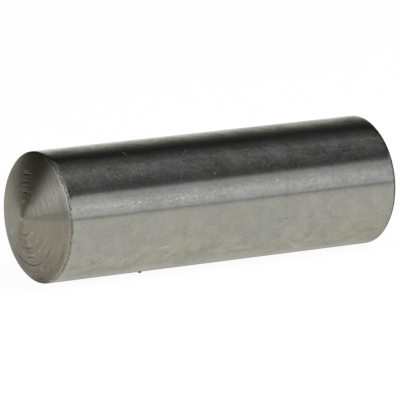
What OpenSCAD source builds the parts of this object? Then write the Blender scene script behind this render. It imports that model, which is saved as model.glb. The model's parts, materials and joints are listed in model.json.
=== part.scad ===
// Solid round dowel pin with a crowned face and a broken edge at each end.
// The axis runs along X and the origin is the centre of the pin. Sizes are in millimetres.

/* [Pin] */
// Ground diameter of the wall
pin_d = 10; // [4:0.5:12]
// Overall length from crown to crown
pin_len = 32; // [20:1:80]

/* [Ends] */
// Radius of the crowned end face
crown_r = 9.8; // [8:0.1:16]
// How far the broken edge reaches in across the end face
edge_across = 0.2; // [0.1:0.05:0.3]
// How far the broken edge reaches back along the wall
edge_back = 0.2; // [0.15:0.05:0.6]

/* [Hidden] */
$fn = 128;
wall_r = pin_d / 2;
face_r = wall_r - edge_across;
crown_h = crown_r - sqrt(pow(crown_r, 2) - pow(face_r, 2));
wall_end = pin_len / 2 - crown_h - edge_back;
// How far the turned-off waste stands clear of the bar
clear = 1;

// The bar before its ends are turned
module bar() {
    rotate([0, 90, 0])
        cylinder(r = wall_r, h = pin_len, center = true);
}

// What is turned off the +X end to leave the crown
module crown_waste() {
    translate([pin_len / 2 - crown_r, 0, 0])
        difference() {
            rotate([0, 90, 0])
                cylinder(r = wall_r + clear, h = crown_r + clear);
            rotate([0, 90, 0])
                sphere(r = crown_r);
        }
}

// What is turned off the +X end to break its edge, a ring outside a short cone
module edge_waste() {
    translate([wall_end - edge_back, 0, 0])
        rotate([0, 90, 0])
            difference() {
                cylinder(r = wall_r + clear, h = 3 * edge_back);
                cylinder(r1 = wall_r + edge_across, r2 = wall_r - 2 * edge_across, h = 3 * edge_back);
            }
}

// The whole pin, turned from one bar with both ends alike
module dowel_pin() {
    color([0.60, 0.60, 0.57])
        difference() {
            bar();
            for (side = [0, 1])
                mirror([side, 0, 0]) {
                    crown_waste();
                    edge_waste();
                }
        }
}

dowel_pin();
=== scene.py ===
import bmesh
import bpy
import json
import math
import random
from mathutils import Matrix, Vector


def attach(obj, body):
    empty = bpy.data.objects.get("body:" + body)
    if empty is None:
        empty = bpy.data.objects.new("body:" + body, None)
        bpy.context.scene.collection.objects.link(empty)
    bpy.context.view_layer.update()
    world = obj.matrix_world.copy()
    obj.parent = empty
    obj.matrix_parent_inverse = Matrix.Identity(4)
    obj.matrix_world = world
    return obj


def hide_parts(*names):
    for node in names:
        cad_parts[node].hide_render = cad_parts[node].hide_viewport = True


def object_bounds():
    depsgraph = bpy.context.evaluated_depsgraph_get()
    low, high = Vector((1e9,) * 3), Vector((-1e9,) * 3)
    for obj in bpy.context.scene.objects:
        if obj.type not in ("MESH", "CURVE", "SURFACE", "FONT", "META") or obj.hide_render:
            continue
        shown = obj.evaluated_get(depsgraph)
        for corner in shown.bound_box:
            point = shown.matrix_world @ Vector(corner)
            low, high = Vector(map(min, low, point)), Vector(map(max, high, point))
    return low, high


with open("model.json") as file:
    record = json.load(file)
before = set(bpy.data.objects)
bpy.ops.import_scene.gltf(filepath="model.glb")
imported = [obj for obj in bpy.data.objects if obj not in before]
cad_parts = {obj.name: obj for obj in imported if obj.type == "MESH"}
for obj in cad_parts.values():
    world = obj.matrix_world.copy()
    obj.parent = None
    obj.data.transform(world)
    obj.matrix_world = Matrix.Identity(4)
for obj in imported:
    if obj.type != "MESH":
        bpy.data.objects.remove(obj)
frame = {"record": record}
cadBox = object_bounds()
mm = 0.001

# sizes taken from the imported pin

cadLow, cadHigh = cadBox
pressMount = next(m for m in frame["record"]["mounts"] if m["name"] == "press_end")
pinRadius = pressMount["dims"]["r_mm"] * mm
wallLength = pressMount["dims"]["length_mm"] * mm
pinLength = cadHigh[0] - cadLow[0]
print("frame: pin %.2f mm long, %.2f mm wall radius" % (pinLength / mm, pinRadius / mm))


# small helpers for nodes and selections

def addNode(tree, kind, **settings):
    made = tree.nodes.new(kind)
    for name, value in settings.items():
        setattr(made, name, value)
    return made


def feed(tree, socket, source):
    # a source is either an output socket or a plain value
    if isinstance(source, bpy.types.NodeSocket):
        tree.links.new(source, socket)
    else:
        socket.default_value = source


def mathNode(tree, operation, first, second=None, third=None):
    made = addNode(tree, "ShaderNodeMath", operation=operation)
    for socket, source in zip(made.inputs, (first, second, third)):
        if source is not None:
            feed(tree, socket, source)
    return made.outputs[0]


def times(tree, *sources):
    # the product of several sources
    product = sources[0]
    for source in sources[1:]:
        product = mathNode(tree, "MULTIPLY", product, source)
    return product


def sumOf(tree, total, *pairs):
    # adds sources to a first one, each times its weight
    for source, weight in pairs:
        total = mathNode(tree, "MULTIPLY_ADD", source, weight, total)
    return total


def oneLess(tree, source):
    return mathNode(tree, "SUBTRACT", 1.0, source)


def atLeast(tree, source, least=0.0):
    return mathNode(tree, "MAXIMUM", source, least)


def vectorNode(tree, operation, first, second=None):
    made = addNode(tree, "ShaderNodeVectorMath", operation=operation)
    feed(tree, made.inputs[0], first)
    if second is not None:
        feed(tree, made.inputs[1], second)
    return made.outputs["Value" if operation == "LENGTH" else "Vector"]


def joined(tree, first, second):
    made = addNode(tree, "ShaderNodeCombineXYZ")
    feed(tree, made.inputs[0], first)
    feed(tree, made.inputs[1], second)
    return made.outputs[0]


def split(tree, vector):
    made = addNode(tree, "ShaderNodeSeparateXYZ")
    tree.links.new(vector, made.inputs[0])
    return made.outputs


def mixColour(tree, factor, first, second, blend="MIX"):
    made = addNode(tree, "ShaderNodeMix", data_type="RGBA", blend_type=blend)
    feed(tree, made.inputs[0], factor)
    feed(tree, made.inputs[6], first)
    feed(tree, made.inputs[7], second)
    return made.outputs[2]


def mapRange(tree, value, low, high, outLow=0.0, outHigh=1.0):
    made = addNode(tree, "ShaderNodeMapRange", interpolation_type="SMOOTHSTEP")
    for socket, source in zip(made.inputs, (value, low, high, outLow, outHigh)):
        feed(tree, socket, source)
    return made.outputs[0]


def deselectAll():
    for other in bpy.context.selected_objects:
        other.select_set(False)


def pick(piece, kind, wanted):
    # leaves only those of the piece's "faces" or "edges" selected that pass the test
    shape = bmesh.from_edit_mesh(piece.data)
    for part in getattr(shape, kind):
        part.select_set(False)
    for part in getattr(shape, kind):
        if wanted(part):
            part.select_set(True)
    bmesh.update_edit_mesh(piece.data)


def endsOf(edge):
    return [end.co for end in edge.verts]


def axisDistance(place):
    return math.hypot(place[1], place[2])


# camera

cameraSetup = {
    "azimuth": -32.68,  # degrees round the pin, 0 looks along +Y
    "elevation": 10.72,
    "distance": 382.9 * mm,
    "lens": 450,
    "aim": Vector((-0.1155, 0.0412, -0.1466)) * mm,
}


def buildCamera():
    turn = math.radians(cameraSetup["azimuth"])
    rise = math.radians(cameraSetup["elevation"])
    back = Vector((math.sin(turn) * math.cos(rise), -math.cos(turn) * math.cos(rise), math.sin(rise)))
    bpy.ops.object.camera_add(location=cameraSetup["aim"] + back * cameraSetup["distance"])
    camera = bpy.context.object
    camera.name = "studioCamera"
    camera.rotation_euler = (-back).to_track_quat("-Z", "Y").to_euler()
    camera.data.lens = cameraSetup["lens"]
    camera.data.sensor_width = 36
    camera.data.clip_start = 0.01
    camera.data.clip_end = 20
    bpy.context.scene.camera = camera


buildCamera()
print("camera placed")

# studio: a pale floor, soft walls of light, a dim ceiling and one dark card

studio = {
    "floorWidth": 6.0,
    # the floor as the steel sees it, with a painted contact shadow: at the line of contact, beneath the
    # pin, beside it and far off
    "floorContactShadow": (0.45, 0.44, 0.4, 1),
    "floorBeneath": (0.88, 0.855, 0.776, 1),
    "floorBeside": (0.88, 0.868, 0.803, 1),
    "floorFar": (0.6, 0.605, 0.585, 1),
    "contactSides": (0.85 * mm, 1.65 * mm),
    "contactEnds": (14.5 * mm, 15.5 * mm),
    "besideBetween": (3.5 * mm, 7 * mm),
    "farBetween": (40 * mm, 280 * mm),
    "floorPale": (0.95, 0.95, 0.95, 1),  # and as the camera sees it, with a faint shadow
    "floorShade": (0.05, 0.05, 0.05, 1),
    "backdrop": (0.99, 0.99, 0.99, 1),
    # the walls: elevation in degrees, brightness and warmth, from the floor up, on the side towards -Y
    "frontLight": [(0, 0.44, 0), (1.2, 0.28, 0), (2.7, 0.77, 0), (5, 0.86, 0), (8, 0.88, 0), (17, 0.98, 0),
                   (22, 0.84, 0), (26, 0.69, 0), (31, 0.64, 0), (33, 0.56, 0), (35.3, 0.085, -0.1),
                   (42, 0.1, -0.3), (50, 0.165, -0.3), (56, 0.255, -0.3), (60, 0.28, -0.3),
                   (90, 0.24, -0.3)],
    # on the side towards +Y
    "backLight": [(0, 1.24, 0.5), (6, 1.09, 0.6), (13, 0.84, 0.7), (19.6, 0.6, 0.9), (26, 0.33, 1.1),
                  (32.5, 0.15, 1.4), (38.5, 0.052, 1.5), (44, 0.02, 1.5), (49, 0.008, 1.4),
                  (52, 0.01, 0.8), (54.3, 0.026, 0.4), (56.4, 0.08, 0.1), (58, 0.17, -0.1),
                  (60, 0.26, -0.3), (90, 0.24, -0.3)],
    # and beyond the near end, towards -X
    "leftLight": [(0, 0.54, 0), (2, 0.25, 0), (4.5, 0.38, 0), (14, 1.9, 0), (22, 2.45, 0), (30, 0.87, 0),
                  (38, 0.8, 0), (90, 0.22, 0)],
    "backBlend": (-0.01, 0.12),  # how far towards +Y the front walls give way to the back ones
    "leftWithin": 24,  # degrees either side of -X
    "leftBlend": 5,  # degrees either side of that, over which it blends in
    "cardFrom": Vector((-33, 112, 0)) * mm,
    "cardTo": Vector((-99, 59, 0)) * mm,
    "cardHeight": 95 * mm,
    "cardSpread": 2.4,  # how much wider its top is
    "cardFoot": Vector((30, -50, 0.1)) * mm,
    "footWidth": 0.12,  # of the card's own width
    "cardGrey": (0.018, 0.0165, 0.009, 1),
    "cardPale": (0.8, 0.79, 0.75, 1),  # at the end towards -X
    "paleBetween": (-66 * mm, -108 * mm),
    "lampPlace": Vector((160, -220, 330)) * mm,
    "lampSize": 260 * mm,
    "lampPower": 1.6,
}


def heightRamp(tree, height, stops):
    ramp = addNode(tree, "ShaderNodeValToRGB")
    marks = ramp.color_ramp.elements
    marks.remove(marks[1])
    for place, (elevation, brightness, warmth) in enumerate(stops):
        mark = marks.new(elevation / 90) if place else marks[0]
        mark.color = (brightness * (1 + 0.01 * warmth), brightness, brightness * (1 - 0.1 * warmth), 1)
    tree.links.new(height, ramp.inputs[0])
    return ramp.outputs[0]


def buildLight():
    world = bpy.data.worlds.new("softStudio")
    bpy.context.scene.world = world
    world.use_nodes = True
    tree = world.node_tree
    tree.nodes.clear()
    x, y, z = split(tree, addNode(tree, "ShaderNodeTexCoord").outputs["Generated"])
    elevation = times(tree, mathNode(tree, "ARCSINE", z), 2 / math.pi)
    front = heightRamp(tree, elevation, studio["frontLight"])
    back = heightRamp(tree, elevation, studio["backLight"])
    left = heightRamp(tree, elevation, studio["leftLight"])
    walls = mixColour(tree, mapRange(tree, y, *studio["backBlend"]), front, back)
    turned = mathNode(tree, "ARCTAN2", mathNode(tree, "ABSOLUTE", y), x)
    leftFrom = math.radians(180 - studio["leftWithin"] - studio["leftBlend"])
    leftTo = math.radians(180 - studio["leftWithin"] + studio["leftBlend"])
    walls = mixColour(tree, mapRange(tree, turned, leftFrom, leftTo), walls, left)
    seen = addNode(tree, "ShaderNodeLightPath").outputs["Is Camera Ray"]
    shown = mixColour(tree, seen, walls, studio["backdrop"])
    glow = addNode(tree, "ShaderNodeBackground")
    tree.links.new(shown, glow.inputs["Color"])
    result = addNode(tree, "ShaderNodeOutputWorld")
    tree.links.new(glow.outputs[0], result.inputs[0])


def cardPaint():
    # dark, paler towards one end
    paint = bpy.data.materials.new("darkCard")
    paint.use_nodes = True
    tree = paint.node_tree
    tree.nodes.clear()
    x, _, _ = split(tree, addNode(tree, "ShaderNodeTexCoord").outputs["Object"])
    fade = mapRange(tree, x, *studio["paleBetween"])
    glow = addNode(tree, "ShaderNodeEmission")
    tree.links.new(mixColour(tree, fade, studio["cardGrey"], studio["cardPale"]), glow.inputs["Color"])
    result = addNode(tree, "ShaderNodeOutputMaterial")
    tree.links.new(glow.outputs[0], result.inputs[0])
    return paint


def floorPaint():
    paint = bpy.data.materials.new("paleFloor")
    paint.use_nodes = True
    tree = paint.node_tree
    shader = tree.nodes["Principled BSDF"]
    shader.inputs["Base Color"].default_value = studio["floorShade"]
    shader.inputs["Roughness"].default_value = 0.9
    shader.inputs["Specular IOR Level"].default_value = 0.0
    shader.inputs["Emission Color"].default_value = studio["floorPale"]
    shader.inputs["Emission Strength"].default_value = 1.0
    # the steel sees it graded outwards from the pin, with a painted shadow along the line of contact
    place = addNode(tree, "ShaderNodeTexCoord").outputs["Object"]
    x, y, _ = split(tree, place)
    along = mathNode(tree, "ABSOLUTE", x)
    aside = mathNode(tree, "ABSOLUTE", y)
    clear = mathNode(tree, "MAXIMUM", mapRange(tree, aside, *studio["contactSides"]),
                     mapRange(tree, along, *studio["contactEnds"]))
    beside = mapRange(tree, aside, *studio["besideBetween"])
    far = mapRange(tree, vectorNode(tree, "LENGTH", place), *studio["farBetween"])
    shown = mixColour(tree, clear, studio["floorContactShadow"], studio["floorBeneath"])
    shown = mixColour(tree, beside, shown, studio["floorBeside"])
    shown = mixColour(tree, far, shown, studio["floorFar"])
    glow = addNode(tree, "ShaderNodeEmission")
    tree.links.new(shown, glow.inputs["Color"])
    blend = addNode(tree, "ShaderNodeMixShader")
    tree.links.new(addNode(tree, "ShaderNodeLightPath").outputs["Is Camera Ray"], blend.inputs[0])
    tree.links.new(glow.outputs[0], blend.inputs[1])
    tree.links.new(shader.outputs[0], blend.inputs[2])
    tree.links.new(blend.outputs[0], tree.nodes["Material Output"].inputs[0])
    return paint


def buildFloor():
    deselectAll()
    bpy.ops.mesh.primitive_plane_add(size=studio["floorWidth"], location=(0, 0, cadLow[2]))
    bpy.ops.object.transform_apply(location=True, rotation=True, scale=True)
    floor = bpy.context.object
    floor.name = "paleFloor"
    floor.data.materials.append(floorPaint())


def buildCard():
    # a dark card stands on the floor behind the near end, out of the camera's sight
    deselectAll()
    start, stop = studio["cardFrom"], studio["cardTo"]
    along = stop - start
    top = cadLow[2] + studio["cardHeight"]
    middle = (start + stop) / 2 + Vector((0, 0, cadLow[2] + studio["cardHeight"] / 2))
    upright = (math.pi / 2, 0, math.atan2(along.y, along.x))
    bpy.ops.mesh.primitive_plane_add(size=1, location=middle, rotation=upright)
    card = bpy.context.object
    card.name = "darkCard"
    card.scale = (along.length, studio["cardHeight"], 1)
    bpy.ops.object.transform_apply(location=True, rotation=True, scale=True)
    bpy.ops.object.mode_set(mode="EDIT")
    pick(card, "edges", lambda edge: min(end.z for end in endsOf(edge)) > top - mm)
    bpy.ops.transform.resize(value=(studio["cardSpread"], studio["cardSpread"], 1))
    # its foot is folded over the floor towards the pin
    pick(card, "edges", lambda edge: max(end.z for end in endsOf(edge)) < cadLow[2] + mm)
    bpy.ops.mesh.extrude_region_move(TRANSFORM_OT_translate={"value": studio["cardFoot"]})
    bpy.ops.transform.resize(value=(studio["footWidth"], studio["footWidth"], 1))
    bpy.ops.object.mode_set(mode="OBJECT")
    card.data.materials.append(cardPaint())
    card.visible_camera = False
    card.visible_diffuse = False
    card.visible_shadow = False


def buildLamp():
    # a soft lamp from the front right, which only the floor shows
    deselectAll()
    place = studio["lampPlace"]
    bpy.ops.object.light_add(type="AREA", location=place)
    lamp = bpy.context.object
    lamp.name = "softLamp"
    lamp.rotation_euler = place.to_track_quat("Z", "Y").to_euler()
    lamp.data.size = studio["lampSize"]
    lamp.data.energy = studio["lampPower"]
    lamp.visible_glossy = False


buildLight()
buildFloor()
buildCard()
buildLamp()
bpy.context.scene.view_settings.view_transform = "Standard"
print("studio lit")

# the pin's shape

pinShape = {
    "sides": 256,
    "edgeBreak": 0.2 * mm,
    "edgeRound": 0.03 * mm,
    # the crown is a shallow ball with a slightly pointed middle
    "crownBall": 12.0 * mm,
    "crownPoint": 7.0,  # degrees added to its slope near the middle
    "pointReach": 2.55 * mm,
    "pipRound": 0.15 * mm,
    "ringStep": 0.075 * mm,  # from one ring of faces to the next on the crown
    "turningPitch": 0.3 * mm,  # between the tool's feed marks
    "turningDepth": 0.0012 * mm,
    "depthSpread": (0.3, 1.7),  # times that depth, drawn anew every few rings
    "depthEvery": 4,
    "depthSeed": 7,
    "wallCuts": 100,
    "wallWave": 0.003 * mm,
    "wallWaveSize": 2.2 * mm,
    "rimWear": 0.02 * mm,
    "rimWearSize": 0.45 * mm,
    "rimWearReach": 0.152 * mm,  # either side of the middle of the broken edge
    # a burr under the wall: mm along, degrees up from -Y, rise and taper
    "burr": (-6.3, -77.3, 0.1 * mm, 0.042 * mm),
}


def crownDrop(radius):
    # how far the crown falls from its middle to this radius
    reach = pinShape["pointReach"]
    near = 1 / (1 / pinShape["pipRound"] + 1 / reach)
    spread = reach * (1 - math.exp(-radius / reach)) - near * (1 - math.exp(-radius / near))
    ball = pinShape["crownBall"] - math.sqrt(pinShape["crownBall"]**2 - radius**2)
    return ball + math.tan(math.radians(pinShape["crownPoint"])) * spread


def crownHeight(radius):
    return crownRise * (1 - crownDrop(radius) / crownDrop(faceRadius))


def turnEnd(piece, side, chance):
    # the broken edge first, then ring after ring up the crown with the tool's feed marks
    pick(piece, "faces", lambda face: face.normal.x * side > 0.9)
    bpy.ops.mesh.inset(thickness=pinShape["edgeBreak"], depth=pinShape["edgeBreak"])
    step = pinShape["ringStep"]
    rings = int((faceRadius - step) / step)
    before = 0.0
    depthNow = 1.0
    for ring in range(1, rings + 1):
        radius = faceRadius - ring * step
        turns = radius / pinShape["turningPitch"]
        if ring % pinShape["depthEvery"] == 0:
            depthNow = chance.uniform(*pinShape["depthSpread"])
        groove = -pinShape["turningDepth"] * depthNow * (0.5 - 0.5 * math.cos(2 * math.pi * turns))
        height = crownHeight(radius) + groove
        bpy.ops.mesh.inset(thickness=step, depth=height - before)
        before = height
    bpy.ops.mesh.poke()


def buildPin():
    deselectAll()
    bpy.ops.mesh.primitive_cylinder_add(
        vertices=pinShape["sides"], radius=pinRadius, depth=wallLength, rotation=(0, math.pi / 2, 0))
    bpy.ops.object.transform_apply(location=False, rotation=True, scale=False)
    pin = bpy.context.object
    pin.name = "groundDowel"
    bpy.ops.object.mode_set(mode="EDIT")
    for side in (-1, 1):
        turnEnd(pin, side, random.Random(pinShape["depthSeed"] + side))
    # round the two corners of each broken edge
    corners = [(wallLength / 2, pinRadius), (wallLength / 2 + pinShape["edgeBreak"], faceRadius)]
    near = 0.02 * mm

    def onCorner(edge):
        # both of its ends at the same end of the pin
        first, second = endsOf(edge)
        return first.x * second.x > 0 and any(
            all(abs(abs(place.x) - along) < near and abs(axisDistance(place) - out) < near
                for place in (first, second))
            for along, out in corners)

    def alongWall(edge):
        first, second = endsOf(edge)
        return abs(first.x - second.x) > wallLength * 0.9

    bpy.ops.mesh.select_mode(type="EDGE")
    pick(pin, "edges", onCorner)
    bpy.ops.mesh.bevel(offset=pinShape["edgeRound"], segments=3, affect="EDGES")
    # rings along the wall
    pick(pin, "edges", alongWall)
    bpy.ops.mesh.subdivide(number_cuts=pinShape["wallCuts"])
    raiseBurr(pin)
    bpy.ops.mesh.select_all(action="DESELECT")
    bpy.ops.object.mode_set(mode="OBJECT")
    return pin


def raiseBurr(piece):
    # one face of the wall is pushed out, with sloping sides
    along, degrees, rise, taper = pinShape["burr"]
    turn = math.radians(degrees)
    place = Vector((along * mm, -pinRadius * math.cos(turn), pinRadius * math.sin(turn)))
    halfRing = wallLength / (pinShape["wallCuts"] + 1) / 2
    halfSide = math.pi * pinRadius / pinShape["sides"]

    def nearest(face):
        off = face.calc_center_median() - place
        return abs(off.x) <= halfRing and math.hypot(off.y, off.z) <= halfSide

    bpy.ops.mesh.select_mode(type="FACE")
    pick(piece, "faces", nearest)
    bpy.ops.mesh.inset(thickness=taper, depth=rise)


def wearPin(pin):
    # a slow wave along the wall and a ragged rim, both cut inwards only
    rim = pin.vertex_groups.new(name="rim")
    wall = pin.vertex_groups.new(name="wall")
    wallEnd = wallLength / 2
    for vertex in pin.data.vertices:
        place = vertex.co
        offRim = abs(abs(place.x) - wallEnd - pinShape["edgeBreak"] / 2)
        rim.add([vertex.index], max(0.0, 1 - offRim / pinShape["rimWearReach"]), "REPLACE")
        if abs(place.x) < wallEnd:
            wall.add([vertex.index], 1.0, "REPLACE")
    for name, group in (("rimWear", "rim"), ("wallWave", "wall")):
        clouds = bpy.data.textures.new(name, "CLOUDS")
        clouds.noise_scale = pinShape[name + "Size"]
        clouds.noise_depth = 1
        push = pin.modifiers.new(name, "DISPLACE")
        push.texture = clouds
        push.texture_coords = "LOCAL"
        push.vertex_group = group
        push.strength = pinShape[name]
        push.mid_level = 1.0
        bpy.ops.object.modifier_apply(modifier=push.name)


faceRadius = pinRadius - pinShape["edgeBreak"]
crownRise = (pinLength - wallLength) / 2 - pinShape["edgeBreak"]
pin = buildPin()
wearPin(pin)
print("pin shaped: %d faces, crown %.2f mm high" % (len(pin.data.polygons), crownRise / mm))

# finishes; angles run in degrees up from -Y round the pin
arc = math.radians(pinRadius / mm)  # millimetres of wall to a degree
mapCut = 225  # degrees at which the map of the face is cut open

wallFinish = {
    "colour": (0.366, 0.372, 0.351, 1),
    "yellowStain": (0.37, 0.374, 0.336, 1),
    "blueStain": (0.365, 0.371, 0.362, 1),
    "blushStain": (0.377, 0.366, 0.348, 1),
    "warmStain": (0.378, 0.37, 0.333, 1),
    "coolStain": (0.361, 0.374, 0.359, 1),
    "pinkStain": (0.379, 0.367, 0.353, 1),
    "roughness": 0.18,
    "anisotropy": 0.75,
    "grazingTint": (0.8, 0.8, 0.8, 1),
    "rubbedColour": (0.56, 0.57, 0.55, 1),
    "pitColour": (0.1, 0.1, 0.095, 1),
    "stainSize": 2.6,  # millimetres
    "pits": 0.14,  # the share of the places for a pit that have one
    "hairWidth": 0.006,
    "hairCover": 0.42,
    # how finely the noises are laid on, along the pin and around it
    "gritRun": (1.0, 1.35),
    "hairRun": (0.1, 0.9),
    "streakRun": (0.3, 4.5),
    "swellRun": (0.25, 0.6),
    # zones round the wall: middle, half width, how much; here the grit is stronger
    "gritty": [(15, 10, 1.1), (44, 22, 2.6), (89, 17, 3.3), (165, 40, 0.8), (-115, 30, 0.4)],
    # where its broad patches are stronger
    "patchy": [(15, 10, 0.5), (46, 22, 2.4), (88, 18, 6.5), (-46, 26, 1.4), (-14, 12, 0.4), (165, 40, 1.2),
               (-115, 30, 0.8)],
    # where it is rubbed
    "rubbed": [(14, 3.5, 1.0), (20, 8, 0.7), (45, 16, 0.65), (-16, 17, 0.62), (100, 25, 0.6),
               (165, 30, 0.8), (-115, 30, 0.6)],
    # how pale the rubs are
    "paleness": [(16, 12, 0.8), (46, 24, 0.7), (100, 30, 0.5), (165, 30, 0.7), (-115, 30, 0.5)],
    # where the reflected bands are painted darker towards the far end and paler towards the near one, and
    # how much
    "paintedBandFade": [(37, 19, 0.15), (15, 20, 0.06), (95, 14, 0.12)],
    # where its blush is stronger
    "blushed": [(-46, 45, 1.4), (96, 26, 1.5), (170, 50, 1.0)],
    # wide stains, warm ones counted up and cool ones down
    "stained": [(-5.5, -38, 4.2, 3.2, 0, 1.0), (12.5, -42, 4.6, 3.6, 0, 0.9),
                (2.8, -27, 4.6, 2.2, 8, -1.0), (-12.4, -52, 3.6, 2.6, 0, -0.45),
                (5, 150, 5.0, 3.0, 20, 0.7), (-7, -150, 5.0, 3.0, -15, 0.7)],
    # where its other stains are fainter
    "clean": [(27, 52, 0.5)],
    # wide pink stains
    "pinked": [(-11.2, -32, 4.4, 2.8, 0, 1.0), (-7.5, 84, 9.0, 1.9, 0, 0.9), (9.0, 84, 9.0, 1.9, 0, 0.5),
               (3.0, -140, 5.0, 2.6, 0, 0.8)],
    # the rubs fade out towards the far end: from, to and what is left, in mm along
    "rubFade": (5.0, 14.0, 0.4),
    # the pale near rim and the far one, darkened as painted shade: from and to in mm along, and how much
    "nearRim": (-14.5, -13.7, 0.09),
    "nearRimAt": [(-20, 60, 1.0)],
    "farRim": (14.42, 14.5, -0.45),
    # single marks on the wall: mm along, degrees, half length, half width, turn, tone
    "nicks": [
        (-8.2, 66, 0.3, 0.05, 95, 1.4), (-3.05, 60, 0.34, 0.06, 55, 0.7),
        (-3.4, 56.5, 0.22, 0.07, 40, 0.7), (-10.3, 58.7, 0.08, 0.07, 0, 0.9),
        (-9.4, 57, 0.09, 0.06, 0, 1.1), (-1.5, 32.7, 0.1, 0.08, 0, 1), (-1.2, 33.2, 0.12, 0.08, 30, -0.9),
        (-1.7, 46, 0.07, 0.07, 0, 0.8), (-2.3, 46.6, 0.08, 0.06, 0, 1.1), (-10.7, 43, 0.3, 0.05, 80, 1.3),
        (-10.4, 45, 0.25, 0.05, 100, 1.1), (-10.1, 41, 0.25, 0.05, 95, 1.1),
        (-8.4, 43, 0.22, 0.05, 95, 1.1), (-8.1, 42, 0.24, 0.05, 90, 1.1), (-7.8, 40.5, 0.2, 0.05, 85, 0.9),
        (-13.4, 25.2, 0.22, 0.05, 120, 1.6), (-12.9, 25.5, 0.18, 0.05, 70, 1.1),
        (-7.3, 29, 0.1, 0.06, 0, -1.1), (-1.4, 21.5, 0.12, 0.09, 0, 0.9), (11.8, 31.5, 1.3, 0.1, 2, -0.5),
        (10.8, 31, 0.35, 0.08, 80, -0.6), (3.4, -9, 0.08, 0.06, 0, -1.3),
        (4.6, -14.7, 0.11, 0.06, 10, -1.1), (1.2, -30, 0.12, 0.06, 25, -0.8),
        (1.7, -47.5, 0.22, 0.07, 60, -0.6), (-3.6, -38.5, 0.15, 0.06, 10, -1),
        (-9.1, -43.5, 0.26, 0.36, 10, -0.45), (-12.2, -38, 0.28, 0.24, 0, -0.45),
        (-9.8, -41, 0.09, 0.07, 0, 0.7), (-5.9, -29.5, 2.2, 0.26, 8, 0.32), (-5, -35, 1.4, 0.36, 37, 0.34),
        (-6.2, -27, 1.3, 0.1, 4, -0.3), (-4.1, -28.5, 0.35, 0.2, 60, 0.4),
        (-5.6, -37, 0.45, 0.14, 30, -0.3), (6.2, -48.5, 1.2, 0.26, -41, 0.34),
        (6.8, -53.5, 0.45, 0.14, -48, 0.4), (11.2, -28, 0.8, 0.12, 4, -0.14),
        (13, -40, 1.0, 0.16, 0, -0.14), (8.2, -20, 1.2, 0.14, 3, -0.1), (5.4, -22, 1.0, 0.2, 0, -0.08),
        (-11.5, -22, 0.9, 0.1, 0, 0.15), (1.5, -37, 0.5, 0.14, 30, -0.12),
        (-12.5, -18.6, 0.16, 0.07, 0, 0.4), (-11.1, -19.4, 0.2, 0.06, 0, 0.7),
        (-10.2, -17.8, 0.16, 0.07, 0, 0.45), (-9.3, -17.6, 0.18, 0.09, 80, 0.35),
        (1.2, -1.9, 0.16, 0.05, 85, 0.7), (1.9, -3.6, 0.18, 0.05, 95, 0.7),
        (2.8, -5.7, 0.16, 0.05, 90, 0.7), (8.4, -9, 0.16, 0.09, 20, 0.4), (8.9, -13, 0.12, 0.08, 0, 0.45),
        (-6.3, -77, 0.2, 0.2, 0, -1.6), (12.6, -58, 3.4, 2.2, 0, -0.14), (14.2, -66, 1.5, 2.0, 0, -0.38),
        (-4.2, -30, 2.8, 1.1, 0, 0.28), (-9.5, -50, 3.2, 0.8, 0, -0.16), (14.1, 19.5, 1.2, 0.8, 0, -0.22),
        (12.6, -34, 3.2, 0.9, 0, -0.18), (13.8, 84, 2.4, 2.0, 0, -0.5), (7.0, 95, 6.5, 1.0, 0, -0.6),
        (7.5, 57, 8.5, 1.0, 0, 0.06), (-2.4, 44.5, 4.2, 0.8, 0, -0.45), (13.6, 95, 2.0, 0.9, 0, -0.5),
        (3.9, 55.5, 0.16, 0.1, 20, -1.4), (4.2, 44.5, 0.12, 0.08, 0, -0.9), (4.9, 40, 0.14, 0.07, 0, -0.8),
        (5.8, 53.5, 0.14, 0.08, 0, -1.0), (7.4, 42.5, 0.34, 0.07, 55, -0.8),
        (10.4, 47, 0.12, 0.09, 0, -1.2), (10.5, 40.5, 0.2, 0.14, 0, -1.0), (11, 37, 0.5, 0.07, 80, -0.9),
        (12.5, 41, 0.34, 0.07, 0, -0.8), (13.3, 39, 0.18, 0.08, 0, -0.8),
        (11.6, 40.5, 0.16, 0.07, 30, -0.8), (1.3, 49.5, 0.1, 0.09, 0, 1.2), (2.1, 47, 0.14, 0.08, 30, 1.3),
        (6.3, 51, 0.2, 0.12, 0, 0.5), (8, 54, 0.16, 0.1, 0, 0.5), (8.5, 39, 0.25, 0.12, 0, 0.4),
        (-10.3, 49.5, 0.14, 0.09, 0, -1.0), (-9.9, 46, 0.12, 0.07, 0, -0.7),
        (-12.8, 38, 0.14, 0.07, 0, -0.8), (-9.6, 41.5, 0.1, 0.08, 0, 1.1),
        (-4.1, 43.5, 0.18, 0.12, 0, -0.9), (-6.7, 43, 0.22, 0.06, 65, -0.7),
        (-3.7, 56, 0.12, 0.09, 0, -0.9), (-1.9, 36, 0.2, 0.08, 10, -0.9), (-0.7, 39, 0.26, 0.08, 85, -0.8),
        (-4.5, 33.5, 0.46, 0.05, 82, 0.35),
    ],
}
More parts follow.
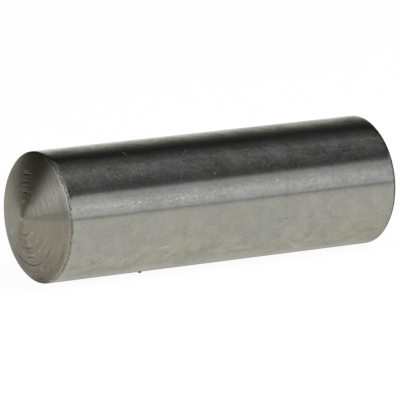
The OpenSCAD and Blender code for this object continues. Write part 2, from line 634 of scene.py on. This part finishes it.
faceFinish = {
    "colour": (0.293, 0.28, 0.25, 1),
    "oliveStain": (0.288, 0.281, 0.222, 1),
    "blushStain": (0.302, 0.276, 0.244, 1),
    "lowerStain": (0.3, 0.275, 0.238, 1),
    "upperStain": (0.303, 0.299, 0.268, 1),
    "middleStain": (0.294, 0.28, 0.234, 1),
    "leftStain": (0.299, 0.28, 0.227, 1),
    "coolStain": (0.283, 0.284, 0.255, 1),
    "paintedLowShade": 0.33,  # painted shade: how much darker the lower edge of the face is
    "roughness": 0.37,
    "anisotropy": 0.85,
    "stainSize": 1.8,  # millimetres
    "ringDrift": 0.3,  # how far a ring wanders in and out, in millimetres
    "ringScale": 3.2,  # rings to the millimetre
    "middleRough": 0.03,  # how much rougher it is at its middle, and how much paler
    "middlePale": 0.05,
    "grazingTint": (0.9, 0.9, 0.9, 1),
    # where the turning rings stand out
    "ringy": [(92, 32, 0.9), (-82, 60, 1.5), (-135, 42, 3.2), (32, 32, 1.2), (-42, 30, 1.9),
              (-14, 26, 1.3)],
    # over the top the rings stop short of the edge: where, and between which radii in mm
    "bareTop": [(88, 42, 1.0)],
    "bareFrom": (3.6, 4.0),
    # where the left stain, the cool stain, the dark ray of painted reflection and the groove are
    "leftSide": [(128, 38, 1.0)],
    "coolSide": [(-152, 36, 1.0)],
    "rayAt": [(10.5, 7.5, 1.0)],
    "grooveAt": [(-112, 66, 1.0)],
    # between which values they, the other stains, the painted shade and the painted reflection fade in or
    # out
    "upperTurn": (14, 19),  # degrees
    "upperEnd": (60, 45),
    "upperOut": (0.8, 2.5),  # mm from the middle
    "behindAcross": (0.3, 3.0),  # mm towards +Y
    "behindTurn": (100, 160),
    "coolOut": (1.8, 3.6),
    "rayOut": (0.3, 1.2),
    "middleOut": (0.6, 2.2),
    "middleStainOut": (0.9, 2.2),
    "lowerDepth": (0.05, 0.6),  # below the middle, 1 at the outline
    "paintedLowShadeDepth": (0.15, 0.95),
    # arcs of single rings on the near face: degrees, mm from the middle, half span, half width, tone
    "arcs": [
        (92, 2.16, 18, 0.055, 4.6), (94, 2.37, 14, 0.05, 2.0), (94, 2.57, 15, 0.055, 3.2),
        (97, 2.95, 12, 0.06, 1.6), (99, 3.2, 10, 0.055, 1.2), (94, 3.51, 15, 0.05, 3.2),
        (99, 3.67, 9, 0.04, 2.2), (93, 1.38, 12, 0.045, 3.7), (93, 1.24, 11, 0.04, 2.5),
        (62, 2.06, 5, 0.14, 0.8), (82, 3.62, 9, 0.06, -1.3), (97, 3.41, 13, 0.07, -1.2),
        (98, 2.78, 13, 0.1, -1.1), (90, 2.03, 17, 0.07, -2.6), (93, 2.45, 15, 0.06, -1.6),
        (95, 3.34, 14, 0.06, -1.2), (97, 3.08, 12, 0.05, -0.8), (93, 3.6, 13, 0.04, -1.4),
        (70, 2.06, 6, 0.09, -1.2), (75, 1.02, 9, 0.06, -0.5), (287, 1.77, 9, 0.06, 4.3),
        (286, 2.03, 14, 0.07, 3.2), (303, 1.33, 22, 0.06, 1.4), (285, 0.92, 24, 0.05, 1.4),
        (303, 0.72, 9, 0.05, 1.6), (280, 2.8, 22, 0.05, 2.5), (257, 2.72, 9, 0.06, 2.5),
        (276, 3.12, 12, 0.04, 1.8), (308, 2.77, 5, 0.07, 2.5), (325, 1.48, 6, 0.08, 2.5),
        (273, 4.18, 9, 0.05, 1.8), (290, 3.95, 4, 0.18, 1.1), (240, 3.2, 6, 0.12, 1.6),
        (262, 1.2, 20, 0.07, -1.0), (296, 1.24, 19, 0.05, -1.2), (277, 1.65, 11, 0.055, -1.4),
        (275, 1.88, 9, 0.06, -1.2), (276, 2.26, 24, 0.1, -1.2), (275, 2.55, 12, 0.06, -1.2),
        (274, 2.98, 15, 0.07, -1.2), (255, 2.3, 7, 0.07, -1.2), (281, 3.3, 9, 0.05, -0.7),
        (280, 4.6, 11, 0.05, -1.3), (274, 4.11, 8, 0.05, -1.0), (246, 3.9, 11, 0.07, -1.0),
        (330, 2.82, 14, 0.07, 1.4), (350, 2.8, 9, 0.07, 0.5), (350, 2.15, 10, 0.06, 0.4),
        (340, 3.52, 16, 0.05, -0.4), (332, 4.52, 10, 0.06, -0.5), (347, 4.25, 8, 0.05, -0.4),
        (345, 3.98, 8, 0.05, -0.4), (337, 4.1, 4, 0.07, 0.5), (224, 2.35, 5, 0.12, -1.0),
        (233, 1.88, 5, 0.11, -0.8), (244, 1.54, 7, 0.09, -0.8), (243, 3.5, 13, 0.11, -1.5),
        (93, 0.86, 15, 0.05, 1.4), (90, 1.04, 13, 0.05, -1.2), (216, 3.0, 7, 0.1, -1.0),
        (222, 3.1, 9, 0.06, 1.0), (212, 3.6, 8, 0.07, -0.9), (228, 4.1, 9, 0.07, -1.0),
        (236, 4.35, 10, 0.06, 1.6), (318, 3.45, 14, 0.06, -0.7), (322, 3.2, 12, 0.06, 1.3),
        (312, 2.45, 12, 0.09, -0.7), (318, 2.15, 9, 0.08, 1.3), (34, 3.52, 20, 0.06, 0.9),
        (31, 3.3, 20, 0.05, 0.8), (33, 2.73, 18, 0.09, 0.7), (31, 3.4, 20, 0.045, -0.9),
        (30, 3.11, 19, 0.06, -0.9), (32, 3.64, 20, 0.05, -0.8), (34, 2.49, 10, 0.09, -0.8),
        (24, 2.27, 10, 0.06, -0.5), (31, 2.01, 18, 0.06, 0.7), (30, 1.8, 18, 0.05, -0.7),
        (35, 1.67, 10, 0.06, 0.9), (25, 1.6, 8, 0.05, 0.5), (32, 1.26, 16, 0.1, -0.7),
        (26, 1.05, 12, 0.08, 0.6), (30, 4.42, 26, 0.3, -0.45),
    ],
    # one deeper groove, cut slightly off centre: y, z and radius in mm
    "groove": (0.1, 0.07, 3.62),
    "grooveHalf": (0.02, 0.08),  # how far from its line it fades out
    "paintedRay": 0.14,  # a faint dark ray on the near face, a painted reflection of the horizon
    # single marks on the near face: y, z, half length, half width, turn, tone
    "nicks": [
        (0.03, 0.0, 0.17, 0.12, 90, 1.5), (-0.55, 0.33, 0.62, 0.32, 149, -0.42),
        (-0.36, 0.84, 0.55, 0.26, 113, 0.4), (0.2, -0.9, 0.9, 0.5, 0, 0.16),
        (0.3, 0.25, 0.18, 0.11, 45, -0.7), (-0.26, -1.2, 0.3, 0.12, -20, -0.5),
        (-1.04, -0.85, 0.14, 0.11, 0, 0.6), (0.72, -2.7, 0.22, 0.1, 0, 0.6),
        (2.4, -1.4, 0.12, 0.28, 0, 1.6), (-2.3, -3.2, 0.12, 0.1, 0, 0.45),
        (-2.55, -3.45, 0.12, 0.1, 0, -0.45), (-2.25, -3.6, 0.12, 0.1, 0, 0.4),
        (-1.95, -3.4, 0.1, 0.12, 0, -0.35), (-2.75, -3.2, 0.1, 0.09, 0, 0.3),
    ],
}
edgeFinish = {
    "colour": (0.272, 0.266, 0.25, 1),
    "brightLine": (0.54, 0.54, 0.5, 1),
    "darkLine": (0.19, 0.186, 0.175, 1),
    "lowerLine": (0.235, 0.228, 0.218, 1),
    "underside": (0.42, 0.412, 0.39, 1),  # pale there in place of the dark line
    "roughness": 0.42,
    "anisotropy": 0.3,
    "grazingTint": (0.3, 0.3, 0.3, 1),
    # where its lines fade in or out, 0 at the inner lip and 1 at the outer one
    "innerAcross": (0.15, 0.4),
    "outerAcross": (0.72, 0.9),
    "darkAcross": (0.38, 0.58),
    "darkEnd": (0.95, 0.78),
    "darkTurn": (-32, -8),  # degrees over which the lower line becomes the dark one
    # where its bright lines of painted highlight are, the first zone for both and the second for the inner
    # one only
    "paintedHighlightAt": [(37, 33, 1.0), (-40, 50, 0.5)],
    # over the top of the near end, where it gets painted shade, and underneath it
    "topAt": [(86, 40, 1.0)],
    "underAt": [(-90, 50, 1.0)],
    "topShade": -0.34,
    "lipShade": -0.3,  # along its inner lip underneath
    "farShade": -0.6,  # painted shade all round the far end
}


def startGroup(name, takes, gives):
    group = bpy.data.node_groups.new(name, "ShaderNodeTree")
    for title, kind in takes.items():
        group.interface.new_socket(name=title, in_out="INPUT", socket_type="NodeSocket" + kind)
    for title, kind in gives.items():
        group.interface.new_socket(name=title, in_out="OUTPUT", socket_type="NodeSocket" + kind)
    inside = addNode(group, "NodeGroupInput")
    return group, inside.outputs, addNode(group, "NodeGroupOutput").inputs


def placeGroup(tree, group, **values):
    made = addNode(tree, "ShaderNodeGroup")
    made.node_tree = group
    for title, source in values.items():
        feed(tree, made.inputs[title], source)
    return made.outputs


def noiseNode(tree, place, scale, detail, roughness):
    made = addNode(tree, "ShaderNodeTexNoise")
    settings = {"Vector": place, "Scale": scale, "Detail": detail, "Roughness": roughness}
    for title, source in settings.items():
        feed(tree, made.inputs[title], source)
    return made.outputs["Fac"]


def drawnOut(tree, place, along, around):
    # stretches what is laid on it: the smaller the number, the longer it runs that way
    return vectorNode(tree, "MULTIPLY", place, (along, around, around))


def aboutNought(tree, noise, spread):
    # turns a noise about a half into one about nought
    return times(tree, mathNode(tree, "SUBTRACT", noise, 0.5), 1 / spread)


def stainGroup():
    # slow clouds of brightness and two slow stains, size in millimetres
    group, takes, gives = startGroup("steelStain", {"Place": "Vector", "Size": "Float"},
                                     {"Cloud": "Float", "Yellow": "Float", "Blush": "Float"})
    often = mathNode(group, "DIVIDE", 1.0, takes["Size"])
    cloud = noiseNode(group, takes["Place"], often, 2, 0.6)
    group.links.new(aboutNought(group, cloud, 0.12), gives["Cloud"])
    aside = vectorNode(group, "ADD", takes["Place"], (31.7, 12.3, 7.9))
    yellow = noiseNode(group, aside, often, 1.5, 0.5)
    group.links.new(mapRange(group, yellow, 0.36, 0.64), gives["Yellow"])
    further = vectorNode(group, "ADD", takes["Place"], (-11.1, 42.9, 17.3))
    blush = noiseNode(group, further, times(group, often, 1.2), 1, 0.5)
    group.links.new(mapRange(group, blush, 0.46, 0.68), gives["Blush"])
    return group


def gritGroup():
    # patches, flecks and a fine grit, each about nought
    group, takes, gives = startGroup("steelGrit", {"Place": "Vector"},
                                     {"Patch": "Float", "Fleck": "Float", "Fine": "Float"})
    for title, scale in (("Fleck", 3.6), ("Fine", 8.5)):
        noise = noiseNode(group, takes["Place"], scale, 1, 0.6)
        group.links.new(aboutNought(group, noise, 0.11), gives[title])
    # the patches are flat with soft edges
    patch = noiseNode(group, takes["Place"], 0.95, 3, 0.65)
    group.links.new(mapRange(group, patch, 0.43, 0.57, -1.0, 1.0), gives["Patch"])
    return group


def rubGroup():
    # short pale dashes along X in loose clusters, and small dark pits
    group, takes, gives = startGroup("rubMarks", {"Place": "Vector", "Amount": "Float", "Pits": "Float"},
                                     {"Rub": "Float", "Pit": "Float"})
    dashes = noiseNode(group, drawnOut(group, takes["Place"], 3.0, 6.8), 1.0, 1, 0.6)
    clusters = noiseNode(group, drawnOut(group, takes["Place"], 0.4, 0.9), 1.0, 2, 0.6)
    # the more handled, the lower the level that a dash has to reach
    level = mathNode(group, "MULTIPLY_ADD", takes["Amount"], -0.22, 0.80)
    level = mathNode(group, "MULTIPLY_ADD", mathNode(group, "SUBTRACT", clusters, 0.5), -0.5, level)
    above = mathNode(group, "SUBTRACT", dashes, level)
    group.links.new(mapRange(group, above, 0.0, 0.10), gives["Rub"])
    pits = addNode(group, "ShaderNodeTexVoronoi", feature="F1")
    feed(group, pits.inputs["Vector"], takes["Place"])
    pits.inputs["Scale"].default_value = 0.9
    chosen = addNode(group, "ShaderNodeSeparateColor")
    group.links.new(pits.outputs["Color"], chosen.inputs[0])
    kept = mathNode(group, "LESS_THAN", chosen.outputs[0], takes["Pits"])
    wide = times(group, chosen.outputs[1], 0.05)
    spot = mapRange(group, pits.outputs["Distance"], wide, mathNode(group, "ADD", wide, 0.05), 1.0, 0.0)
    group.links.new(times(group, spot, kept), gives["Pit"])
    return group


def hairlineGroup():
    # long thin scratches: level lines of a drawn-out noise, broken into lengths
    group, takes, gives = startGroup("hairlines", {"Place": "Vector", "Width": "Float", "Cover": "Float"},
                                     {"Line": "Float"})
    drawn = noiseNode(group, takes["Place"], 1.0, 0, 0.5)
    off = mathNode(group, "ABSOLUTE", mathNode(group, "SUBTRACT", drawn, 0.5))
    thin = mapRange(group, off, 0.0, takes["Width"], 1.0, 0.0)
    lengths = noiseNode(group, takes["Place"], 2.2, 1, 0.5)
    broken = mapRange(group, mathNode(group, "ADD", lengths, takes["Cover"]), 0.98, 1.06)
    group.links.new(times(group, thin, broken), gives["Line"])
    return group


def nickGroup():
    # adds one soft oval mark to a flat map: X and Y say where, Z is the tone so far
    takes = {"Flat": "Vector", "Middle": "Vector", "Turn": "Vector", "Size": "Vector", "Tone": "Float"}
    group, takes, gives = startGroup("nick", takes, {"Flat": "Vector"})
    laid = addNode(group, "ShaderNodeMapping", vector_type="TEXTURE")
    for socket, source in zip(laid.inputs, ("Flat", "Middle", "Turn", "Size")):
        group.links.new(takes[source], socket)
    spot = addNode(group, "ShaderNodeTexGradient", gradient_type="SPHERICAL")
    group.links.new(laid.outputs[0], spot.inputs[0])
    mark = times(group, mapRange(group, spot.outputs["Fac"], 0.0, 0.6), takes["Tone"])
    added = addNode(group, "ShaderNodeCombineXYZ")
    group.links.new(mark, added.inputs[2])
    group.links.new(vectorNode(group, "ADD", takes["Flat"], added.outputs[0]), gives["Flat"])
    return group


def nickTone(tree, groups, flat, nicks):
    # the signed tone of all the single marks of one surface, whose outlines a noise frays
    ragged = mathNode(tree, "MULTIPLY_ADD", noiseNode(tree, flat, 9.0, 1, 0.6), 0.08, -0.04)
    flat = vectorNode(tree, "ADD", flat, joined(tree, ragged, 0.0))
    for first, second, long, wide, turn, tone in nicks:
        flat = placeGroup(tree, groups["nick"], Flat=flat, Middle=(first, second, 0),
                          Turn=(0, 0, math.radians(turn)), Size=(long, wide, 1000), Tone=tone)["Flat"]
    return split(tree, flat)[2]


def onWall(nicks):
    # degrees round the pin become millimetres of arc
    return [(along, degrees * arc, *rest) for along, degrees, *rest in nicks]


def startMetal(name, finish):
    metal = bpy.data.materials.new(name)
    metal.use_nodes = True
    shader = metal.node_tree.nodes["Principled BSDF"]
    shader.inputs["Metallic"].default_value = 1.0
    shader.inputs["Specular Tint"].default_value = finish["grazingTint"]
    # grooves run round the axis, so the shine spreads across them
    shader.inputs["Anisotropic"].default_value = finish["anisotropy"]
    shader.inputs["Anisotropic Rotation"].default_value = 0.25
    tree = metal.node_tree
    tangent = addNode(tree, "ShaderNodeTangent", direction_type="RADIAL", axis="X")
    tree.links.new(tangent.outputs[0], shader.inputs["Tangent"])
    seen = addNode(tree, "ShaderNodeTexCoord").outputs["Object"]
    place = vectorNode(tree, "MULTIPLY", seen, (1000, 1000, 1000))
    return metal, tree, shader, place


def aroundAxis(tree, place):
    # millimetres along, across and up, then out from the axis and degrees up from -Y
    x, y, z = split(tree, place)
    out = vectorNode(tree, "LENGTH", vectorNode(tree, "MULTIPLY", place, (0, 1, 1)))
    angle = times(tree, mathNode(tree, "ARCTAN2", z, times(tree, y, -1.0)), 180 / math.pi)
    return x, y, z, out, angle


def zoned(tree, angle, zones, rest=0.0):
    # the strongest of several zones round the pin, each full up to two fifths of its half width
    amount = rest
    for middle, half, much in zones:
        off = mathNode(tree, "ABSOLUTE", mathNode(tree, "SUBTRACT", angle, middle))
        # the shorter way round
        off = mathNode(tree, "MINIMUM", off, mathNode(tree, "SUBTRACT", 360.0, off))
        amount = atLeast(tree, amount, mapRange(tree, off, 0.4 * half, half, much, 0.0))
    return amount


def shaded(tree, colour, shade):
    # a colour times a grey
    grey = addNode(tree, "ShaderNodeCombineColor")
    for socket in grey.inputs:
        tree.links.new(shade, socket)
    return mixColour(tree, 1.0, colour, grey.outputs[0], "MULTIPLY")


def marked(tree, colour, mask, strength, paint):
    return mixColour(tree, times(tree, mask, strength), colour, paint)


def raiseSurface(tree, shader, height):
    bump = addNode(tree, "ShaderNodeBump")
    bump.inputs["Strength"].default_value = 1.0
    bump.inputs["Distance"].default_value = mm
    tree.links.new(height, bump.inputs["Height"])
    tree.links.new(bump.outputs[0], shader.inputs["Normal"])


def groundWall(groups):
    metal, tree, shader, place = startMetal("groundWall", wallFinish)
    along, _, _, _, angle = aroundAxis(tree, place)
    stain = placeGroup(tree, groups["stain"], Place=place, Size=wallFinish["stainSize"])
    grit = placeGroup(tree, groups["grit"], Place=drawnOut(tree, place, *wallFinish["gritRun"]))
    gritty = mathNode(tree, "ADD", zoned(tree, angle, wallFinish["gritty"]), 1.0)
    patchy = mathNode(tree, "ADD", zoned(tree, angle, wallFinish["patchy"]), 1.0)
    rubbed = zoned(tree, angle, wallFinish["rubbed"])
    fadeFrom, fadeTo, left = wallFinish["rubFade"]
    handled = times(tree, rubbed, mapRange(tree, along, fadeFrom, fadeTo, 1.0, left))
    pale = zoned(tree, angle, wallFinish["paleness"], 0.2)
    marks = placeGroup(tree, groups["rub"], Place=place, Amount=handled, Pits=wallFinish["pits"])
    lines = placeGroup(tree, groups["hairlines"], Place=drawnOut(tree, place, *wallFinish["hairRun"]),
                       Width=wallFinish["hairWidth"], Cover=wallFinish["hairCover"])
    drawn = noiseNode(tree, drawnOut(tree, place, *wallFinish["streakRun"]), 1.0, 2, 0.55)
    streaks = aboutNought(tree, drawn, 0.12)
    flat = joined(tree, along, times(tree, angle, arc))
    tone = nickTone(tree, groups, flat, onWall(wallFinish["nicks"]))
    warmth = nickTone(tree, groups, flat, onWall(wallFinish["stained"]))
    pink = nickTone(tree, groups, flat, onWall(wallFinish["pinked"]))
    # the stains come first
    stained = oneLess(tree, zoned(tree, angle, wallFinish["clean"]))
    blushed = zoned(tree, angle, wallFinish["blushed"], 0.1)
    colour = wallFinish["colour"]
    for mask, strength, paint in (
        (mapRange(tree, stain["Yellow"], 0.5, 0.0), stained, "blueStain"),
        (mapRange(tree, stain["Yellow"], 0.5, 1.0), stained, "yellowStain"),
        (times(tree, stain["Blush"], blushed), 0.8, "blushStain"),
        (atLeast(tree, warmth), 0.8, "warmStain"),
        (atLeast(tree, times(tree, warmth, -1.0)), 0.8, "coolStain"),
        (pink, 0.6, "pinkStain"),
    ):
        colour = marked(tree, colour, mask, strength, wallFinish[paint])
    # then clouds, patches and grit, the single marks and the two rims
    broad = sumOf(tree, 0.0, (stain["Cloud"], 0.028), (grit["Patch"], 0.026))
    small = sumOf(tree, 0.0, (grit["Fleck"], 0.024), (grit["Fine"], 0.028), (streaks, 0.012))
    # painted reflection: some bands round the wall darken towards the far end
    paintedBandFade = times(tree, zoned(tree, angle, wallFinish["paintedBandFade"]), along)
    rimFrom, rimTo, rimPale = wallFinish["nearRim"]
    nearRim = times(tree, mapRange(tree, along, rimFrom, rimTo, rimPale, 0.0),
                    zoned(tree, angle, wallFinish["nearRimAt"]))
    # painted shade: the wall darkens into the far rim
    rimFrom, rimTo, rimDark = wallFinish["farRim"]
    farRim = mapRange(tree, along, rimFrom, rimTo, 0.0, rimDark)
    shade = sumOf(tree, 1.0, (broad, patchy), (small, gritty), (paintedBandFade, -2 * mm / wallLength),
                  (tone, 0.45), (nearRim, 1.0), (farRim, 1.0))
    colour = shaded(tree, colour, atLeast(tree, shade, 0.2))
    # the rubs, hairlines and pits lie on top
    colour = marked(tree, colour, marks["Rub"], pale, wallFinish["rubbedColour"])
    colour = marked(tree, colour, lines["Line"], 0.25, wallFinish["rubbedColour"])
    colour = marked(tree, colour, marks["Pit"], pale, wallFinish["pitColour"])
    tree.links.new(colour, shader.inputs["Base Color"])
    rough = sumOf(tree, wallFinish["roughness"], (times(tree, grit["Patch"], rubbed), 0.02),
                  (times(tree, marks["Rub"], pale), 0.12), (lines["Line"], 0.05),
                  (atLeast(tree, tone), 0.3))
    tree.links.new(rough, shader.inputs["Roughness"])
    # heights in millimetres
    swell = noiseNode(tree, drawnOut(tree, place, *wallFinish["swellRun"]), 1.0, 1, 0.4)
    height = sumOf(tree, 0.0, (swell, 0.0035), (streaks, 0.00015), (grit["Fleck"], 0.00006),
                   (marks["Rub"], 0.001), (marks["Pit"], -0.005), (lines["Line"], -0.0012))
    raiseSurface(tree, shader, height)
    return metal


def turnedFace(groups):
    metal, tree, shader, place = startMetal("turnedFace", faceFinish)
    along, y, z, out, angle = aroundAxis(tree, place)
    stain = placeGroup(tree, groups["stain"], Place=place, Size=faceFinish["stainSize"])
    grit = placeGroup(tree, groups["grit"], Place=place)
    nearEnd = mathNode(tree, "LESS_THAN", along, 0.0)
    # rings of the tool, drifting slowly round the pin and broken into lengths
    drift = mathNode(tree, "SUBTRACT", noiseNode(tree, place, 0.35, 1, 0.5), 0.5)
    wandering = mathNode(tree, "MULTIPLY_ADD", drift, faceFinish["ringDrift"], out)
    rings = addNode(tree, "ShaderNodeTexNoise", noise_dimensions="1D")
    settings = {"W": wandering, "Scale": faceFinish["ringScale"], "Detail": 2.0, "Roughness": 0.7}
    for title, source in settings.items():
        feed(tree, rings.inputs[title], source)
    lengths = noiseNode(tree, vectorNode(tree, "ADD", place, (9.1, 3.3, 5.7)), 0.8, 2, 0.6)
    bareTop = times(tree, zoned(tree, angle, faceFinish["bareTop"]),
                    mapRange(tree, out, *faceFinish["bareFrom"]))
    lines = times(tree, aboutNought(tree, rings.outputs["Fac"], 0.12), mapRange(tree, lengths, 0.32, 0.6),
                  zoned(tree, angle, faceFinish["ringy"], 0.3), oneLess(tree, bareTop))
    grooveY, grooveZ, grooveOut = faceFinish["groove"]
    aside = vectorNode(tree, "SUBTRACT", place, (0, grooveY, grooveZ))
    around = vectorNode(tree, "LENGTH", vectorNode(tree, "MULTIPLY", aside, (0, 1, 1)))
    offGroove = mathNode(tree, "ABSOLUTE", mathNode(tree, "SUBTRACT", around, grooveOut))
    groove = times(tree, mapRange(tree, offGroove, *faceFinish["grooveHalf"], 1.0, 0.0),
                   zoned(tree, angle, faceFinish["grooveAt"]))
    flat = joined(tree, y, z)
    tone = times(tree, nickTone(tree, groups, flat, faceFinish["nicks"]), nearEnd)
    # the arcs lie on a map of degrees and radius, which is cut open at mapCut degrees
    past = mathNode(tree, "LESS_THAN", angle, mapCut - 360.0)
    flat = joined(tree, mathNode(tree, "MULTIPLY_ADD", past, 360.0, angle), wandering)
    arcs = [(degrees - 360 if degrees > mapCut else degrees, far, span, wide, 0, much)
            for degrees, far, span, wide, much in faceFinish["arcs"]]
    arcTone = times(tree, nickTone(tree, groups, flat, arcs), nearEnd)
    # the stains come first
    depth = times(tree, z, -mm / pinRadius)
    upper = times(tree, mapRange(tree, angle, *faceFinish["upperTurn"]),
                  mapRange(tree, angle, *faceFinish["upperEnd"]),
                  mapRange(tree, out, *faceFinish["upperOut"]), nearEnd)
    behind = times(tree, mapRange(tree, y, *faceFinish["behindAcross"]),
                   mapRange(tree, angle, *faceFinish["behindTurn"], 0.3, 1.0))
    cool = times(tree, zoned(tree, angle, faceFinish["coolSide"]),
                 mapRange(tree, out, *faceFinish["coolOut"]))
    centre = mapRange(tree, out, *faceFinish["middleStainOut"], 1.0, 0.0)
    colour = faceFinish["colour"]
    for mask, strength, paint in (
        (stain["Yellow"], 0.6, "oliveStain"),
        (stain["Blush"], 0.8, "blushStain"),
        (zoned(tree, angle, faceFinish["leftSide"]), 0.8, "leftStain"),
        (mapRange(tree, depth, *faceFinish["lowerDepth"]), 0.9, "lowerStain"),
        (behind, 0.8, "oliveStain"),
        (cool, 0.9, "coolStain"),
        (centre, 0.9, "middleStain"),
        (upper, 1.0, "upperStain"),
    ):
        colour = marked(tree, colour, mask, strength, faceFinish[paint])
    # painted reflection: a faint dark ray where the face would mirror the horizon
    paintedRay = times(tree, zoned(tree, angle, faceFinish["rayAt"]),
                mapRange(tree, out, *faceFinish["rayOut"]), nearEnd)
    middle = mapRange(tree, out, *faceFinish["middleOut"], 1.0, 0.0)
    # painted shade: the lower edge of the face is darkened
    paintedLowShade = mapRange(tree, depth, *faceFinish["paintedLowShadeDepth"])
    shade = sumOf(tree, 1.0, (stain["Cloud"], 0.03), (grit["Patch"], 0.018), (grit["Fleck"], 0.018),
                  (grit["Fine"], 0.03), (lines, 0.05), (groove, -0.5), (tone, 0.5), (arcTone, 0.3),
                  (paintedLowShade, -faceFinish["paintedLowShade"]), (paintedRay, -faceFinish["paintedRay"]),
                  (middle, faceFinish["middlePale"]))
    colour = shaded(tree, colour, atLeast(tree, shade, 0.2))
    tree.links.new(colour, shader.inputs["Base Color"])
    rough = sumOf(tree, faceFinish["roughness"], (atLeast(tree, lines), 0.05),
                  (atLeast(tree, arcTone), 0.05), (middle, faceFinish["middleRough"]))
    tree.links.new(rough, shader.inputs["Roughness"])
    raiseSurface(tree, shader, sumOf(tree, 0.0, (lines, 0.004), (groove, -0.01), (grit["Fine"], 0.0001)))
    return metal


def brokenEdge(groups):
    metal, tree, shader, place = startMetal("brokenEdge", edgeFinish)
    along, _, _, out, angle = aroundAxis(tree, place)
    grit = placeGroup(tree, groups["grit"], Place=place)
    nearEnd = mathNode(tree, "LESS_THAN", along, 0.0)
    farEnd = oneLess(tree, nearEnd)
    # 0 at the inner lip and 1 at the outer one, made ragged
    across = times(tree, mathNode(tree, "SUBTRACT", out, faceRadius / mm), mm / pinShape["edgeBreak"])
    across = sumOf(tree, across, (grit["Patch"], 0.06), (grit["Fleck"], 0.11))
    lip = mapRange(tree, across, *edgeFinish["innerAcross"], 1.0, 0.0)
    # underneath, the edge is pale with a dark inner lip
    under = times(tree, zoned(tree, angle, edgeFinish["underAt"]), nearEnd)
    bare = oneLess(tree, under)
    # painted highlights: a bright inner and outer line along the broken edge
    inner = times(tree, lip, zoned(tree, angle, edgeFinish["paintedHighlightAt"], 0.15), bare)
    outer = times(tree, mapRange(tree, across, *edgeFinish["outerAcross"]),
                  zoned(tree, angle, edgeFinish["paintedHighlightAt"][:1]), nearEnd)
    dark = times(tree, mapRange(tree, across, *edgeFinish["darkAcross"]),
                 mapRange(tree, across, *edgeFinish["darkEnd"]))
    higher = mapRange(tree, angle, *edgeFinish["darkTurn"])
    line = mixColour(tree, higher, edgeFinish["lowerLine"], edgeFinish["darkLine"])
    line = mixColour(tree, under, line, edgeFinish["underside"])
    colour = mixColour(tree, dark, edgeFinish["colour"], line)
    colour = mixColour(tree, inner, colour, edgeFinish["brightLine"])
    colour = mixColour(tree, outer, colour, edgeFinish["brightLine"])
    # painted shade: the edge is darker over the top of the near end
    top = times(tree, zoned(tree, angle, edgeFinish["topAt"]), nearEnd)
    # painted shade: the far end of the edge is darkened all round
    shade = sumOf(tree, 1.0, (grit["Fleck"], 0.1), (grit["Fine"], 0.1), (top, edgeFinish["topShade"]),
                  (farEnd, edgeFinish["farShade"]), (times(tree, lip, under), edgeFinish["lipShade"]))
    tree.links.new(shaded(tree, colour, shade), shader.inputs["Base Color"])
    shader.inputs["Roughness"].default_value = edgeFinish["roughness"]
    raiseSurface(tree, shader, sumOf(tree, 0.0, (grit["Fleck"], 0.0015), (grit["Fine"], 0.0004)))
    return metal


def dressPin(pin):
    pin.data.materials.clear()
    groups = {"stain": stainGroup(), "grit": gritGroup(), "rub": rubGroup(), "hairlines": hairlineGroup(),
              "nick": nickGroup()}
    for make in (groundWall, turnedFace, brokenEdge):
        pin.data.materials.append(make(groups))
    for face in pin.data.polygons:
        middle = face.center
        past = abs(middle.x) - wallLength / 2
        if past > 0.95 * pinShape["edgeBreak"] and axisDistance(middle) < faceRadius:
            face.material_index = 1
        elif past > -pinShape["edgeRound"]:
            face.material_index = 2
    deselectAll()
    pin.select_set(True)
    bpy.context.view_layer.objects.active = pin
    bpy.ops.object.shade_smooth_by_angle(angle=math.radians(35))
    # the wide faces keep their own direction beside the narrow bevels
    even = pin.modifiers.new("evenShine", "WEIGHTED_NORMAL")
    even.keep_sharp = True
    bpy.ops.object.modifier_apply(modifier=even.name)


dressPin(pin)
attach(pin, "root")
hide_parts("dowel_pin")
print("pin dressed")
